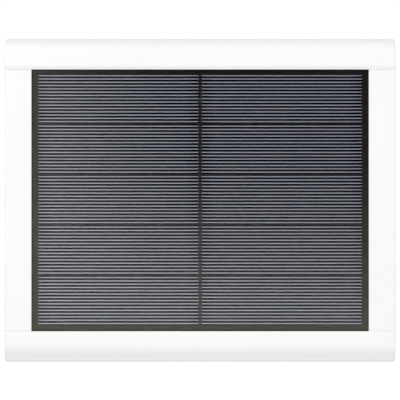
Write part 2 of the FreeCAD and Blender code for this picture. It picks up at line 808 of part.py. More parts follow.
head_seat = back + 4.5
b = new_body("shell_screws")
sk = sketch(b, "heads", "XZ_Plane", head_seat - 1.8)
for x, z in screw_places:
    circle(sk, x, z, P.screw_head_r)
pad(b, "head_pads", sk, Size(1.8))
sk = sketch(b, "shanks", "XZ_Plane", head_seat)
for x, z in screw_places:
    circle(sk, x, z, P.screw_r)
pad(b, "shank_pads", sk, Size(10.0))
sk = sketch(b, "drives", "XZ_Plane", head_seat - 0.8)
for x, z in screw_places:
    rectangle(sk, x - 1.6, z - 0.35, x + 1.6, z + 0.35)
pocket(b, "slots", sk, outward=False)
keep(b)

b = new_body("screw_plugs")
sk = sketch(b, "plugs", "XZ_Plane", back + 0.25)
for x, z in screw_places:
    circle(sk, x, z, P.plug_r)
pad(b, "plug_pads", sk, Size(2.3))
keep(b)

# ---------------------------------------------------------------- cable gland and vent

b = new_body("cable_gland")
turn(
    b,
    "gland",
    [
        (3.2, back - 2.0),
        (5.6, back - 2.0),
        (6.6, back - 1.2),
        (6.6, back),
        (P.gland_neck_r, back),
        (P.gland_neck_r, back + 7.6),
        (3.2, back + 7.6),
    ],
    P.gland_z,
)
keep(b)

b = new_body("gland_seal")
turn(
    b,
    "seal",
    [
        (P.gland_bore_r, back - 2.6),
        (3.1, back - 2.6),
        (3.15, back - 2.0),
        (3.15, back + 5.4),
        (P.gland_bore_r, back + 5.4),
    ],
    P.gland_z,
)
keep(b)

b = new_body("gland_nut")
sk = sketch(b, "hex", "XZ_Plane", inner_back)
hexagon = [
    (7.2 * math.cos(math.radians(60 * k)), P.gland_z + 7.2 * math.sin(math.radians(60 * k))) for k in range(6)
]
outline(sk, hexagon)
circle(sk, 0, P.gland_z, P.gland_neck_r + 0.05)
pad(b, "hex_nut", sk, Size(3.2))
keep(b)

b = new_body("vent_cap")
sk = sketch(b, "disc", "XZ_Plane", back + 0.1)
circle(sk, P.vent_x, P.gland_z, Size(4.0))
pad(b, "disc_pad", sk, Size(0.8))
keep(b)

# ---------------------------------------------------------------- ball socket on the rear shell

ball = P.reach
flange_seat = back + P.socket_sink
seal_front = flange_seat
flange_front = flange_seat - P.socket_seal_thick
flange_back = flange_front - P.socket_flange_thick
b = new_body("socket_seal")
sk = sketch(b, "ring", "XZ_Plane", flange_front)
circle(sk, 0, 0, P.socket_flange_r - 0.5)
circle(sk, 0, 0, Size(13.0))
for x, z in socket_places:
    circle(sk, x, z, P.screw_clear_r + 0.2)
pad(b, "sheet", sk, P.socket_seal_thick)
keep(b)

b = new_body("socket_cup")
# where the bowl's outside meets the flange's front face
bowl_at = (P.bowl_r * P.bowl_r - (flange_front - ball) * (flange_front - ball)).root()
turn(
    b,
    "cup",
    [
        (P.socket_r, ball),
        (P.socket_thread_r - 0.6, ball),
        (P.socket_thread_r, ball + 0.6),
        (P.socket_thread_r, flange_back),
        (P.socket_flange_r - 0.8, flange_back),
        (P.socket_flange_r, flange_back + 0.8),
        (P.socket_flange_r, flange_front),
        (bowl_at, flange_front, P.bowl_r, 1),
        (0, ball + P.bowl_r),
        (0, ball + P.socket_r, P.socket_r, -1),
    ],
)
sk = sketch(b, "screw_holes", "XZ_Plane", flange_back)
for x, z in socket_places:
    circle(sk, x, z, P.screw_clear_r)
pocket(b, "screw_hole_cuts", sk)
sk = sketch(b, "screw_sinks", "XZ_Plane", flange_back)
for x, z in socket_places:
    circle(sk, x, z, P.screw_head_r + 0.2)
pocket(b, "screw_sink_cuts", sk, Size(1.9))
keep(b)

b = new_body("socket_screws")
seat = flange_back + 1.9
sk = sketch(b, "heads", "XZ_Plane", seat - 1.7)
for x, z in socket_places:
    circle(sk, x, z, P.screw_head_r)
pad(b, "head_pads", sk, Size(1.7))
sk = sketch(b, "shanks", "XZ_Plane", seat)
for x, z in socket_places:
    circle(sk, x, z, P.screw_r)
pad(b, "shank_pads", sk, Size(7.0))
sk = sketch(b, "drives", "XZ_Plane", seat - 0.7)
for x, z in socket_places:
    rectangle(sk, x - 1.6, z - 0.35, x + 1.6, z + 0.35)
pocket(b, "slots", sk, outward=False)
keep(b)

# ---------------------------------------------------------------- ball, liner and lock ring

b = new_body("ball_liner")
# a split cup that runs past the ball's equator, so that it holds the ball when the ring squeezes it
past = Size(2.6)
lin = (P.liner_in_r * P.liner_in_r - past * past).root()
lout = (P.liner_out_r * P.liner_out_r - past * past).root()
pole = Size(3.0)
pin = (P.liner_in_r * P.liner_in_r - pole * pole).root()
pout = (P.liner_out_r * P.liner_out_r - pole * pole).root()
turn(
    b,
    "cup",
    [
        (lout, ball - past, P.liner_out_r, 1),
        (pole, ball + pout),
        (pole, ball + pin, P.liner_in_r, -1),
        (lin, ball - past),
    ],
)
doc.recompute()
sk = sketch(b, "slit", "XZ_Plane", ball - 4)
rectangle(sk, Size(8.0), Size(-0.5), Size(13.0), Size(0.5))
slit = pocket(b, "slit_cut", sk, Size(9.0))
around(b, "slits", [slit], sk, 6)
keep(b)

b = new_body("slip_washer")
sk = sketch(b, "ring", "XZ_Plane", ball - P.washer_thick)
circle(sk, 0, 0, P.socket_thread_r - 0.1)
circle(sk, 0, 0, Size(12.0))
pad(b, "disc", sk, P.washer_thick - 0.05)
keep(b)

b = new_body("lock_ring")
shoulder = ball - P.washer_thick - 0.05
lip = ball - 3.0
lip_r = (P.socket_r * P.socket_r - 3.0 * 3.0).root()
shoulder_r = (P.socket_r * P.socket_r - (P.washer_thick + 0.05) * (P.washer_thick + 0.05)).root()
rear = ball - 6.0
turn(
    b,
    "ring",
    [
        (P.ring_bore_r + 0.5, flange_back - 0.4),
        (P.ring_out_r - 0.8, flange_back - 0.4),
        (P.ring_out_r, flange_back - 1.2),
        (P.ring_out_r, rear + 1.8),
        (P.ring_out_r - 1.8, rear),
        (14.2, rear),
        (lip_r, lip, P.socket_r, 1),
        (shoulder_r, shoulder),
        (P.ring_bore_r, shoulder),
        (P.ring_bore_r, flange_back - 0.9),
    ],
)
doc.recompute()
sk = sketch(b, "flute", "XZ_Plane", rear - 1)
circle(sk, P.ring_out_r + 0.9, 0, Size(1.7))
flute = pocket(b, "flute_cut", sk, flange_back - 2.4 - rear + 1)
around(b, "flutes", [flute], sk, 24)
keep(b)

b = new_body("ball_stud")
neck_at = (P.ball_r * P.ball_r - P.neck_r * P.neck_r).root()
arm_front = ball - P.arm_front_gap
collar = arm_front + 1.1 + 3.0
turn(
    b,
    "stud",
    [
        (0, arm_front - 17.0),
        (P.neck_r - 0.5, arm_front - 17.0),
        (P.neck_r, arm_front - 16.5),
        (P.neck_r, arm_front - 15.4),
        (P.neck_r - 0.7, arm_front - 15.4),
        (P.neck_r - 0.7, arm_front - 14.4),
        (P.neck_r, arm_front - 14.4),
        (P.neck_r, arm_front + 1.1),
        (7.0, arm_front + 1.1),
        (7.0, collar - 0.6),
        (6.4, collar),
        (P.neck_r, collar),
        (P.neck_r, ball - neck_at, P.ball_r, 1),
        (P.ball_r, ball, P.ball_r, 1),
        (0, ball + P.ball_r),
    ],
)
doc.recompute()
# two spanner flats on the collar
sk = sketch(b, "flats", "XZ_Plane", arm_front + 1.0)
rectangle(sk, Size(5.5), Size(-8.0), Size(8.0), Size(8.0))
rectangle(sk, Size(-8.0), Size(-8.0), Size(-5.5), Size(8.0))
pocket(b, "flat_cuts", sk, Size(3.6))
keep(b)

b = new_body("stud_washer")
sk = sketch(b, "ring", "XZ_Plane", arm_front + 0.05)
circle(sk, 0, 0, Size(7.4))
circle(sk, 0, 0, P.neck_r + 0.1)
pad(b, "disc", sk, Size(1.0))
keep(b)

b = new_body("stud_clip")
sk = sketch(b, "ring", "XZ_Plane", arm_front - 15.3)
circle(sk, 0, 0, Size(5.6))
circle(sk, 0, 0, P.neck_r - 0.7)
pad(b, "clip", sk, Size(0.8))
sk = sketch(b, "mouth", "XZ_Plane", arm_front - 16)
rectangle(sk, Size(0.0), Size(-1.2), Size(7.0), Size(1.2))
pocket(b, "mouth_cut", sk, Size(3.0))
keep(b)

# ---------------------------------------------------------------- arm and wall base

b = new_body("stud_insert")
turn(
    b,
    "bush",
    [
        (P.neck_r + 0.05, arm_front - 14.2),
        (5.7, arm_front - 14.2),
        (5.7, arm_front - 9.6),
        (5.2, arm_front - 9.2),
        (5.2, arm_front - 7.4),
        (5.7, arm_front - 7.0),
        (5.7, arm_front - 1.5),
        (6.8, arm_front - 1.5),
        (6.8, arm_front),
        (P.neck_r + 0.05, arm_front),
    ],
)
keep(b)

b = new_body("mount_arm")
arm_foot = P.base_thick - P.base_seat
bore_end = arm_front - 18.5
turn(
    b,
    "arm",
    [
        (0, arm_foot),
        (P.arm_foot_r - 0.3, arm_foot),
        (P.arm_foot_r - 0.3, P.base_thick),
        (P.arm_foot_r - 0.3, P.base_thick + 1.0, 40.0, -1),
        (P.arm_waist_r, P.base_thick + 24.0),
        (P.arm_tip_r, arm_front - 3.0),
        (P.arm_tip_r, arm_front - 1.5, 1.5, 1),
        (P.arm_tip_r - 1.5, arm_front),
        (6.85, arm_front),
        (6.85, arm_front - 1.5),
        (5.75, arm_front - 1.5),
        (5.75, arm_front - 14.2),
        (6.2, arm_front - 14.2),
        (6.2, bore_end),
        (0, bore_end),
    ],
)
doc.recompute()
sk = sketch(b, "screw_pilot", "XZ_Plane", arm_foot)
circle(sk, 0, 0, Size(2.45))
pocket(b, "screw_pilot_hole", sk, Size(15.0))
sk = sketch(b, "dowel_holes", "XZ_Plane", arm_foot)
for x in (-8, 8):
    circle(sk, Size(float(x)), 0, Size(1.55))
pocket(b, "dowel_hole_cuts", sk, Size(4.2))
keep(b)

b = new_body("wall_base")
turn(
    b,
    "disc",
    [
        (0, 0),
        (P.base_r - 0.8, 0),
        (P.base_r, 0.8),
        (P.base_r, 3.0, 4.0, 1),
        (P.base_r - 4.0, P.base_thick),
        (P.arm_foot_r, P.base_thick),
        (P.arm_foot_r, P.base_thick - P.base_seat),
        (0, P.base_thick - P.base_seat),
    ],
)
doc.recompute()
sk = sketch(b, "wall_hole", "XZ_Plane", Size(0.0))
circle(sk, P.base_screw_ring, 0, P.base_screw_r)
hole = pocket(b, "wall_hole_cut", sk)
sk2 = sketch(b, "wall_sink", "XY_Plane")
outline(
    sk2,
    [
        (P.base_screw_ring, -P.base_thick - 0.5),
        (P.base_screw_ring, -(P.base_thick - P.base_sink_r)),
        (P.base_screw_ring + P.base_sink_r + 0.5, -P.base_thick - 0.5),
    ],
)
sink = feature(b, "Groove", "wall_sink_cut", sk2)
sink.ReferenceAxis = (sk2, ["Edge1"])
sink.Angle = 360.0
doc.recompute()
around(b, "wall_holes", [hole, sink], sk, 4)
sk = sketch(b, "arm_screw_hole", "XZ_Plane", Size(0.0))
circle(sk, 0, 0, Size(2.7))
pocket(b, "arm_screw_cut", sk)
sk = sketch(b, "arm_screw_sink", "XZ_Plane", Size(0.0))
circle(sk, 0, 0, Size(5.2))
pocket(b, "arm_screw_sink_cut", sk, Size(3.0))
sk = sketch(b, "dowel_holes", "XZ_Plane", P.base_thick - P.base_seat)
for x in (-8, 8):
    circle(sk, Size(float(x)), 0, Size(1.55))
pocket(b, "dowel_hole_cuts", sk, Size(3.2), outward=False)
keep(b)

b = new_body("arm_screw")
turn(
    b,
    "screw",
    [
        (0, 1.6),
        (2.0, 1.6),
        (2.0, 0.3),
        (4.4, 0.3),
        (4.8, 0.8),
        (4.8, 3.0),
        (2.4, 3.0),
        (2.4, 19.0),
        (1.8, 19.8),
        (0, 19.8),
    ],
)
keep(b)

b = new_body("arm_dowels")
sk = sketch(b, "pins", "XZ_Plane", P.base_thick - P.base_seat - 3)
for x in (-8, 8):
    circle(sk, Size(float(x)), 0, Size(1.5))
pad(b, "pin_pads", sk, Size(7.0))
keep(b)

# ---------------------------------------------------------------- check and write

doc.recompute()
for o in doc.Objects:
    if "Invalid" in o.State or "Error" in o.State:
        raise ValueError("%s failed: %s" % (o.Label, o.State))
for o in parts:
    shape = o.Shape
    if shape.isNull() or not shape.isValid() or not shape.Solids:
        raise ValueError("%s has no valid shape" % o.Label)
    print("%-18s solids %2d  volume %10.2f mm3" % (o.Label, len(shape.Solids), shape.Volume))
loose = [o.Label for o in doc.Objects if o.TypeId == "Sketcher::SketchObject" and not o.FullyConstrained]
print("sketches not fully constrained:", loose)

os.makedirs("parts", exist_ok=True)
for o in parts:
    o.Shape.exportStep(os.path.join("parts", o.Label + ".step"))
print(len(parts), "nodes written")
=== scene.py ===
import math

import bmesh
import bpy
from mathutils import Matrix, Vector


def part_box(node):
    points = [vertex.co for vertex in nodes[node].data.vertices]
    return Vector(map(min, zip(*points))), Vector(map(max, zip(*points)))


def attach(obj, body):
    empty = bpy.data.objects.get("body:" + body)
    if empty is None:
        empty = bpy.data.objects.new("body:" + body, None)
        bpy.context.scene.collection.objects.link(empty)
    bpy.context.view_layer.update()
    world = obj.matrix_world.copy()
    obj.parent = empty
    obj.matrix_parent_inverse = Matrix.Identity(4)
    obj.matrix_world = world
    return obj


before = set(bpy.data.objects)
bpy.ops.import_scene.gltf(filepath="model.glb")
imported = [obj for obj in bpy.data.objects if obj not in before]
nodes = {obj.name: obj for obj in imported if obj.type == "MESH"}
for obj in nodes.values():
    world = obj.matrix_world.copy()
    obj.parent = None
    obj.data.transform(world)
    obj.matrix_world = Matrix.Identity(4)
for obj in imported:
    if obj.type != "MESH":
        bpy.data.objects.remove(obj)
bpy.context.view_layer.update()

scene = bpy.context.scene
MM = 0.001

# ------------------------------------------------------------------ camera
# Square on to the panel's face. The rail plane is 111.35 mm out from the wall, and the long lens takes in 198.5 mm of it.
STAND = 1.400  # rail plane to the lens
cam_data = bpy.data.cameras.new("camera")
cam_data.sensor_width = 36.0
cam_data.lens = 254.15
cam_data.clip_start = 0.05
cam_data.clip_end = 30
cam = bpy.data.objects.new("camera", cam_data)
cam.location = (-0.00005, -(0.11135 + STAND), 0.000174)
cam.rotation_euler = (math.radians(90), 0, 0)
scene.collection.objects.link(cam)
scene.camera = cam

# ------------------------------------------------------------------ node helpers


class Tree:
    """A material's node tree with short calls for the nodes used here."""

    def __init__(self, name):
        self.mat = bpy.data.materials.new(name)
        self.mat.use_nodes = True
        self.nt = self.mat.node_tree
        self.nt.nodes.clear()
        self.out = self.nt.nodes.new("ShaderNodeOutputMaterial")
        self.coord = self.nt.nodes.new("ShaderNodeTexCoord").outputs["Object"]

    def new(self, kind):
        return self.nt.nodes.new(kind)

    def link(self, a, b):
        self.nt.links.new(a, b)

    def put(self, socket, value):
        if isinstance(value, bpy.types.NodeSocket):
            self.link(value, socket)
        elif isinstance(value, (tuple, list)):
            value = tuple(value)
            if len(socket.default_value) == 4 and len(value) == 3:
                value = value + (1.0,)
            socket.default_value = value
        else:
            socket.default_value = value

    def scaled(self, x, y, z, source=None):
        m = self.new("ShaderNodeMapping")
        m.inputs["Scale"].default_value = (x, y, z)
        self.link(source or self.coord, m.inputs["Vector"])
        return m.outputs["Vector"]

    def noise(self, scale, detail=2.0, rough=0.5, vector=None, distortion=0.0):
        n = self.new("ShaderNodeTexNoise")
        n.inputs["Scale"].default_value = scale
        n.inputs["Detail"].default_value = detail
        n.inputs["Roughness"].default_value = rough
        n.inputs["Distortion"].default_value = distortion
        self.link(vector or self.coord, n.inputs["Vector"])
        return n.outputs["Fac"]

    def voronoi(self, scale, vector=None, feature="F1", out="Distance"):
        n = self.new("ShaderNodeTexVoronoi")
        n.feature = feature
        n.inputs["Scale"].default_value = scale
        self.link(vector or self.coord, n.inputs["Vector"])
        return n.outputs[out]

    def math(self, op, a, b=0.0, c=None, clamp=False):
        n = self.new("ShaderNodeMath")
        n.operation = op
        n.use_clamp = clamp
        self.put(n.inputs[0], a)
        self.put(n.inputs[1], b)
        if c is not None:
            self.put(n.inputs[2], c)
        return n.outputs[0]

    def span(self, value, low, high, to_low, to_high, smooth=False):
        n = self.new("ShaderNodeMapRange")
        n.clamp = True
        if smooth:
            n.interpolation_type = "SMOOTHSTEP"
        self.put(n.inputs["Value"], value)
        n.inputs["From Min"].default_value = low
        n.inputs["From Max"].default_value = high
        n.inputs["To Min"].default_value = to_low
        n.inputs["To Max"].default_value = to_high
        return n.outputs["Result"]

    def mix(self, fac, a, b):
        n = self.new("ShaderNodeMix")
        n.data_type = "RGBA"
        self.put(n.inputs[0], fac)
        self.put(n.inputs[6], a)
        self.put(n.inputs[7], b)
        return n.outputs[2]

    def xyz(self, vector=None):
        n = self.new("ShaderNodeSeparateXYZ")
        self.link(vector or self.coord, n.inputs[0])
        return n.outputs

    def bump(self, height, strength, distance, normal=None):
        n = self.new("ShaderNodeBump")
        n.inputs["Strength"].default_value = strength
        n.inputs["Distance"].default_value = distance
        self.link(height, n.inputs["Height"])
        if normal is not None:
            self.link(normal, n.inputs["Normal"])
        return n.outputs["Normal"]

    def surface(self, color, roughness, metallic=0.0, normal=None, ior=1.5, **fixed):
        p = self.new("ShaderNodeBsdfPrincipled")
        self.put(p.inputs["Base Color"], color)
        self.put(p.inputs["Roughness"], roughness)
        self.put(p.inputs["Metallic"], metallic)
        p.inputs["IOR"].default_value = ior
        for name, value in fixed.items():
            self.put(p.inputs[name.replace("_", " ")], value)
        if normal is not None:
            self.link(normal, p.inputs["Normal"])
        self.link(p.outputs[0], self.out.inputs["Surface"])
        return self.mat


# ------------------------------------------------------------------ materials


def moulded(name, color, low=0.38, high=0.5, grain=1500.0, depth=0.00002, ior=1.5, shade=0.012):
    """An injection moulding: a faint cloudiness in the colour, a spark-eroded grain, and roughness that varies."""
    t = Tree(name)
    cloud = t.noise(14, 3, 0.55)
    fine = t.noise(grain, 2, 0.6)
    darker = tuple(c * (1 - shade * 2) for c in color)
    base = t.mix(t.span(cloud, 0.3, 0.7, 0, 1), darker, color)
    speck = t.noise(grain * 0.6, 1, 0.5)
    base = t.mix(t.span(speck, 0.62, 0.8, 0, 0.35), base, tuple(c * 0.96 for c in color))
    rough = t.span(t.math("ADD", t.math("MULTIPLY", fine, 0.6), t.math("MULTIPLY", cloud, 0.4)), 0.3, 0.7, low, high)
    height = t.math("ADD", fine, t.math("MULTIPLY", t.noise(grain * 2.3, 1, 0.5), 0.4))
    return t.surface(base, rough, normal=t.bump(height, 0.35, depth), ior=ior)


def rubber(name, color, grain=900.0):
    t = Tree(name)
    dust = t.noise(55, 4, 0.6)
    fine = t.noise(grain, 3, 0.6)
    base = t.mix(t.span(dust, 0.35, 0.75, 0, 1), color, tuple(min(1, c * 1.25 + 0.01) for c in color))
    rough = t.span(fine, 0.3, 0.7, 0.62, 0.82)
    return t.surface(base, rough, normal=t.bump(fine, 0.4, 0.00003))


def foam(name, color):
    t = Tree(name)
    pores = t.voronoi(1400)
    # the pits of the pores are painted darker: painted shade in the pits, laid over the foam's own black
    base = t.mix(t.span(pores, 0.1, 0.6, 0, 1), tuple(c * 0.5 for c in color), color)
    return t.surface(base, t.span(pores, 0, 0.6, 0.95, 0.8), normal=t.bump(pores, 0.6, 0.0001))


def turned(name, color, axis="y", low=0.2, high=0.36, scale=1400.0):
    """Metal off a lathe: fine rings about the part's own axis, with a few brighter and duller bands."""
    t = Tree(name)
    stretch = {"y": (6, scale, 6), "x": (scale, 6, 6), "z": (6, 6, scale)}[axis]
    rings = t.noise(1.0, 3, 0.7, t.scaled(*stretch))
    smear = t.noise(60, 3, 0.6)
    base = t.mix(t.span(rings, 0.35, 0.65, 0, 1), tuple(c * 0.86 for c in color), color)
    base = t.mix(t.span(smear, 0.45, 0.8, 0, 0.35), base, tuple(c * 0.78 for c in color))
    rough = t.span(t.math("ADD", t.math("MULTIPLY", rings, 0.5), t.math("MULTIPLY", smear, 0.5)), 0.35, 0.65, low, high)
    return t.surface(base, rough, metallic=1.0, normal=t.bump(rings, 0.25, 0.00001))


def drawn(name, color, low=0.22, high=0.4):
    t = Tree(name)
    streak = t.noise(1.0, 3, 0.6, t.scaled(900, 900, 60))
    patch = t.noise(220, 2, 0.5)
    base = t.mix(t.span(streak, 0.35, 0.65, 0, 1), tuple(c * 0.85 for c in color), color)
    rough = t.span(t.math("ADD", t.math("MULTIPLY", streak, 0.5), t.math("MULTIPLY", patch, 0.5)), 0.35, 0.65, low, high)
    return t.surface(base, rough, metallic=1.0, normal=t.bump(streak, 0.2, 0.00001))


def circuit(name):
    """Solder mask with the copper's tracks standing under it."""
    t = Tree(name)
    parts = t.xyz()
    grid = t.new("ShaderNodeTexBrick")
    grid.inputs["Scale"].default_value = 120
    grid.inputs["Mortar Size"].default_value = 0.035
    grid.inputs["Color1"].default_value = (0.0, 0.0, 0.0, 1)
    grid.inputs["Color2"].default_value = (0.35, 0.35, 0.35, 1)
    grid.inputs["Mortar"].default_value = (1, 1, 1, 1)
    turned_coord = t.new("ShaderNodeCombineXYZ")
    t.link(parts["X"], turned_coord.inputs["X"])
    t.link(parts["Z"], turned_coord.inputs["Y"])
    t.link(turned_coord.outputs[0], grid.inputs["Vector"])
    lines = grid.outputs["Color"]
    mask = t.mix(lines, (0.012, 0.11, 0.045), (0.03, 0.21, 0.085))
    fine = t.noise(2000, 2, 0.5)
    height = t.new("ShaderNodeRGBToBW")
    t.link(lines, height.inputs[0])
    return t.surface(mask, t.span(fine, 0.3, 0.7, 0.22, 0.34), normal=t.bump(height.outputs[0], 0.4, 0.00004))


def wire(name, color):
    t = Tree(name)
    fine = t.noise(1500, 2, 0.5)
    base = t.mix(t.span(t.noise(200, 2, 0.5), 0.35, 0.7, 0, 1), color, tuple(c * 0.8 for c in color))
    return t.surface(base, t.span(fine, 0.3, 0.7, 0.28, 0.42), normal=t.bump(fine, 0.2, 0.00002))


# Film and glass lie flat on the cells, so the mirror that the outer face makes of the sky is carried by the coat of
# what lies beneath. The pane itself adds the glancing part.
PANE = {"Coat_Weight": 1.0, "Coat_Roughness": 0.02, "Coat_IOR": 1.5}


def silicon(name):
    """Textured mono silicon: blue-black, each wafer a shade of its own, with the etch's fine sparkle."""
    t = Tree(name)
    snap = t.new("ShaderNodeVectorMath")
    snap.operation = "SNAP"
    move = t.new("ShaderNodeVectorMath")
    move.operation = "ADD"
    move.inputs[1].default_value = (0.0, 0.0, 0.0251 / 2 - 0.00042)
    t.link(t.coord, move.inputs[0])
    t.link(move.outputs[0], snap.inputs[0])
    snap.inputs[1].default_value = (0.0812, 1.0, 0.0251)
    white = t.new("ShaderNodeTexWhiteNoise")
    white.noise_dimensions = "3D"
    t.link(snap.outputs[0], white.inputs["Vector"])
    own = white.outputs["Value"]
    etch = t.noise(2600, 2, 0.7)
    base = t.mix(own, (0.0040, 0.0080, 0.0230), (0.0050, 0.0094, 0.0260))
    base = t.mix(t.span(etch, 0.45, 0.75, 0, 0.5), base, (0.0070, 0.0120, 0.0310))
    return t.surface(base, t.span(etch, 0.3, 0.7, 0.05, 0.10), normal=t.bump(etch, 0.1, 0.000002), ior=1.22, **PANE)


def paste(name):
    """Printed and fired silver: pale grey, grainy along its length, with a bright skin under the film."""
    t = Tree(name)
    grain = t.noise(1.0, 3, 0.65, t.scaled(700, 2500, 2500))
    patch = t.noise(45, 2, 0.5)
    base = t.mix(t.span(grain, 0.3, 0.7, 0, 1), (0.230, 0.218, 0.278), (0.258, 0.244, 0.311))
    base = t.mix(t.span(patch, 0.3, 0.7, 0, 0.3), base, (0.239, 0.226, 0.288))
    return t.surface(base, t.span(grain, 0.3, 0.7, 0.12, 0.15), ior=3.4, **PANE)


def backing(name):
    """The warm black board behind the cells, smooth where the film wets it."""
    t = Tree(name)
    weave = t.noise(2600, 2, 0.5)
    base = t.mix(t.span(weave, 0.3, 0.7, 0, 1), (0.0290, 0.0245, 0.0225), (0.0330, 0.0280, 0.0255))
    return t.surface(base, t.span(weave, 0.3, 0.7, 0.05, 0.09), ior=1.36, Specular_Tint=(1.0, 0.78, 0.42), **PANE)


def pane(name):
    """The cover glass: light passes straight through, and towards glancing angles its outer face mirrors more and more."""
    t = Tree(name)
    clear = t.new("ShaderNodeBsdfTransparent")
    streak = t.noise(8, 2, 0.5)
    t.put(clear.inputs["Color"], t.mix(t.span(streak, 0.3, 0.7, 0, 1), (0.985, 0.992, 0.990), (0.992, 0.997, 0.996)))
    gloss = t.new("ShaderNodeBsdfGlossy")
    gloss.inputs["Color"].default_value = (1, 1, 1, 1)
    t.put(gloss.inputs["Roughness"], t.span(t.noise(30, 3, 0.5), 0.3, 0.7, 0.012, 0.03))
    fresnel = t.new("ShaderNodeFresnel")
    fresnel.inputs["IOR"].default_value = 1.5
    glancing = t.span(fresnel.outputs[0], 0.042, 1.0, 0.0, 0.9)
    low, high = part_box("cover_glass")
    outer = t.math("LESS_THAN", t.xyz()["Y"], (low.y + high.y) / 2)
    mixed = t.new("ShaderNodeMixShader")
    t.link(t.math("MULTIPLY", glancing, outer), mixed.inputs[0])
    t.link(clear.outputs[0], mixed.inputs[1])
    t.link(gloss.outputs[0], mixed.inputs[2])
    t.link(mixed.outputs[0], t.out.inputs["Surface"])
    return t.mat


def film(name):
    t = Tree(name)
    clear = t.new("ShaderNodeBsdfTransparent")
    t.put(clear.inputs["Color"], t.mix(t.span(t.noise(20, 2, 0.5), 0.3, 0.7, 0, 1), (0.990, 0.990, 0.985), (0.996, 0.996, 0.992)))
    t.link(clear.outputs[0], t.out.inputs["Surface"])
    return t.mat


WHITE = (0.87, 0.87, 0.865)
looks = {
    "front_frame": moulded("front_frame_white", WHITE),
    "rear_shell": moulded("rear_shell_white", WHITE, 0.42, 0.56, 1100, 0.00003),
    "socket_cup": moulded("socket_white", WHITE, 0.36, 0.48),
    "lock_ring": moulded("ring_white", (0.85, 0.85, 0.845), 0.40, 0.55, 1200, 0.00003),
    "mount_arm": moulded("arm_white", WHITE, 0.38, 0.50, 1200, 0.000025),
    "wall_base": moulded("base_white", WHITE, 0.38, 0.50, 1200, 0.000025),
    "cable_gland": moulded("gland_white", (0.82, 0.82, 0.81), 0.34, 0.46),
    "gland_nut": moulded("nut_grey", (0.22, 0.22, 0.225), 0.40, 0.55),
    "vent_cap": moulded("vent_grey", (0.42, 0.42, 0.43), 0.55, 0.72, 700, 0.00006),
    "ball_liner": moulded("liner_acetal", (0.62, 0.62, 0.58), 0.24, 0.36),
    "slip_washer": moulded("washer_acetal", (0.60, 0.60, 0.56), 0.24, 0.36),
    "converter_chip": moulded("chip_black", (0.012, 0.012, 0.012), 0.45, 0.60),
    "inductor": moulded("ferrite_grey", (0.05, 0.05, 0.052), 0.50, 0.70),
    "output_connector": moulded("connector_ivory", (0.70, 0.66, 0.54), 0.30, 0.42),
    "shell_gasket": rubber("gasket_rubber", (0.03, 0.03, 0.032)),
    "gland_seal": rubber("gland_seal_rubber", (0.035, 0.035, 0.037)),
    "socket_seal": rubber("socket_seal_rubber", (0.04, 0.04, 0.042)),
    "screw_plugs": rubber("plug_rubber", (0.74, 0.74, 0.73)),
    "frame_tape": foam("tape_foam", (0.02, 0.02, 0.02)),
    "support_pads": foam("pad_foam", (0.03, 0.03, 0.03)),
    "shell_screws": turned("shell_screw_steel", (0.60, 0.60, 0.61)),
    "board_screws": turned("board_screw_steel", (0.60, 0.60, 0.61)),
    "socket_screws": turned("socket_screw_steel", (0.60, 0.60, 0.61)),
    "arm_screw": turned("arm_screw_steel", (0.58, 0.58, 0.59)),
    "arm_dowels": turned("dowel_steel", (0.58, 0.58, 0.59)),
    "ball_stud": turned("ball_steel", (0.66, 0.66, 0.665), "y", 0.14, 0.28, 1800),
    "stud_washer": turned("washer_steel", (0.60, 0.60, 0.61)),
    "stud_clip": turned("clip_steel", (0.45, 0.45, 0.47)),
    "stud_insert": turned("insert_brass", (0.72, 0.52, 0.24)),
    "capacitors": drawn("capacitor_can", (0.68, 0.68, 0.70)),
    "cell_ribbons": moulded("ribbon_black", (0.008, 0.008, 0.0078), 0.4, 0.55),
    "terminal_pads": drawn("terminal_tin", (0.66, 0.66, 0.68)),
    "board_tags": drawn("tag_tin", (0.66, 0.66, 0.68)),
    "positive_lead": wire("lead_red", (0.45, 0.02, 0.015)),
    "negative_lead": wire("lead_black", (0.015, 0.015, 0.015)),
    "regulator_board": circuit("board_green"),
    "solar_cells": silicon("silicon_blue_black"),
    "backing_board": backing("backing_black"),
    "cover_glass": pane("glass_clear"),
    "encapsulant_film": film("film_clear"),
}
for name, obj in nodes.items():
    obj.data.materials.clear()
    obj.data.materials.append(looks[name])

# ------------------------------------------------------------------ the cells' conductor lines
# 15 printed lines on each of the ten wafers. They stand on the wafer's face, inside the film.


